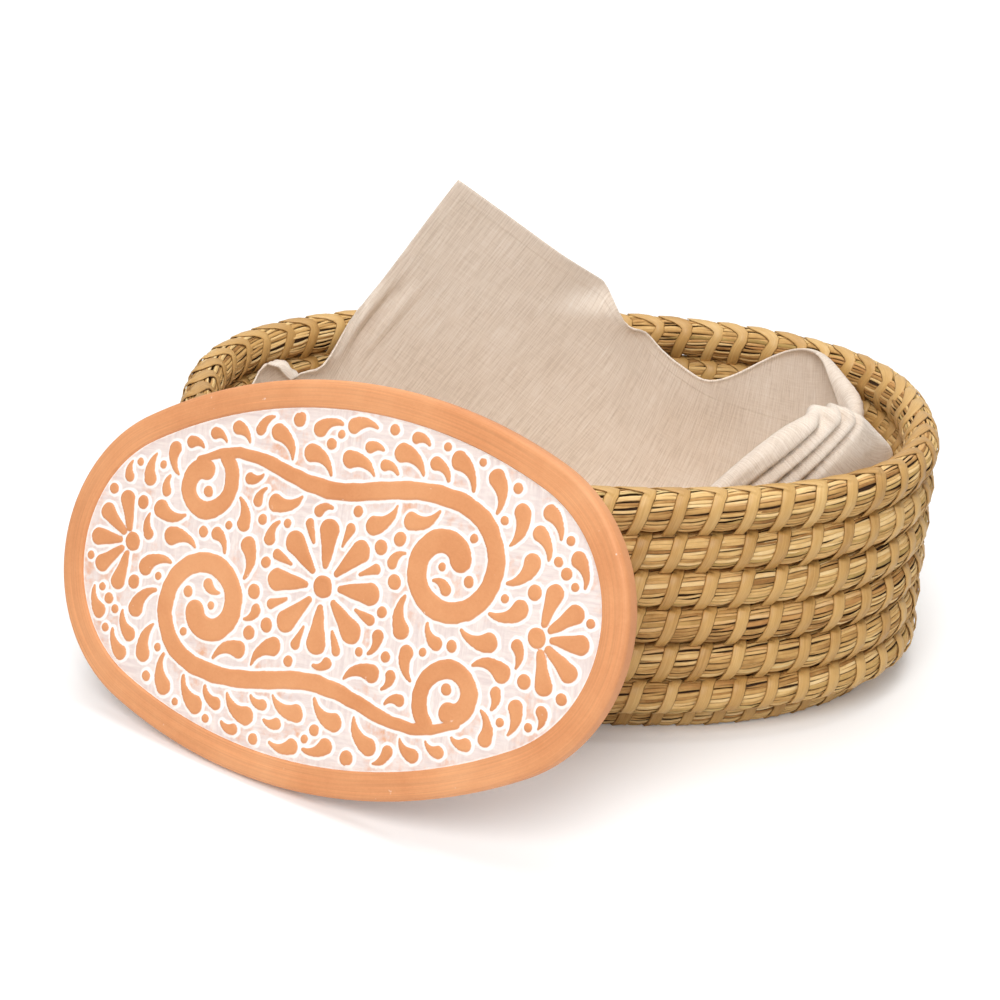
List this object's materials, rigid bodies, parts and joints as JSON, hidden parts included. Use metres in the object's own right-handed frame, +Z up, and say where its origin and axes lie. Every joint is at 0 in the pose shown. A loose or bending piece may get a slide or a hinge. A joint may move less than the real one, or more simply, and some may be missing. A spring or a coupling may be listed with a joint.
{
  "type": "bread warmer basket",
  "caption": "Oval coiled grass basket bound with palm strips, with a linen liner cloth and a carved terracotta warming tile leaning on its rim.",
  "frame": {"origin": "the middle of the basket's flat underside, on the ground", "axes": "+Z up, +X along the basket to the right, -Y towards the front where the tile leans"},
  "size_m": [0.3618, 0.3069, 0.176],
  "materials": {
    "grass_bundle": "dried grass strands, matte",
    "palm_strip": "smooth dried palm leaf, satin",
    "terracotta": "fired clay, matte, smooth plain rim",
    "white_slip": "brushed white slip, rubbed, matte",
    "linen": "plain weave linen with slubs"
  },
  "bodies": {
    "basket": {"base_core": "grass_bundle", "base_coil": "grass_bundle", "foot_coil": "grass_bundle", "wall_coil_1": "grass_bundle", "wall_coil_2": "grass_bundle", "wall_coil_3": "grass_bundle", "wall_coil_4": "grass_bundle", "wall_coil_5": "grass_bundle", "rim_coil": "grass_bundle", "coil_end": "grass_bundle", "base_binding_1": "palm_strip", "base_binding_2": "palm_strip", "base_binding_3": "palm_strip", "base_binding_4": "palm_strip", "base_binding_5": "palm_strip", "foot_binding": "palm_strip", "wall_binding_1": "palm_strip", "wall_binding_2": "palm_strip", "wall_binding_3": "palm_strip", "wall_binding_4": "palm_strip", "wall_binding_5": "palm_strip", "rim_binding": "palm_strip", "end_binding": "palm_strip"},
    "tile": {"warming_tile": "terracotta", "slip_coat": "white_slip"},
    "cloth": {"linen_base": "linen", "linen_back": "linen", "linen_left": "linen", "linen_front": "linen", "linen_right_front": "linen", "linen_right_back": "linen"}
  },
  "joints": [
    {"name": "tile_lift", "type": "slide", "parent": "basket", "child": "tile", "axis": [0, 0, 1], "range_m": [0, 0.25]},
    {"name": "cloth_lift", "type": "slide", "parent": "basket", "child": "cloth", "axis": [0, 0, 1], "range_m": [0, 0.2]}
  ]
}
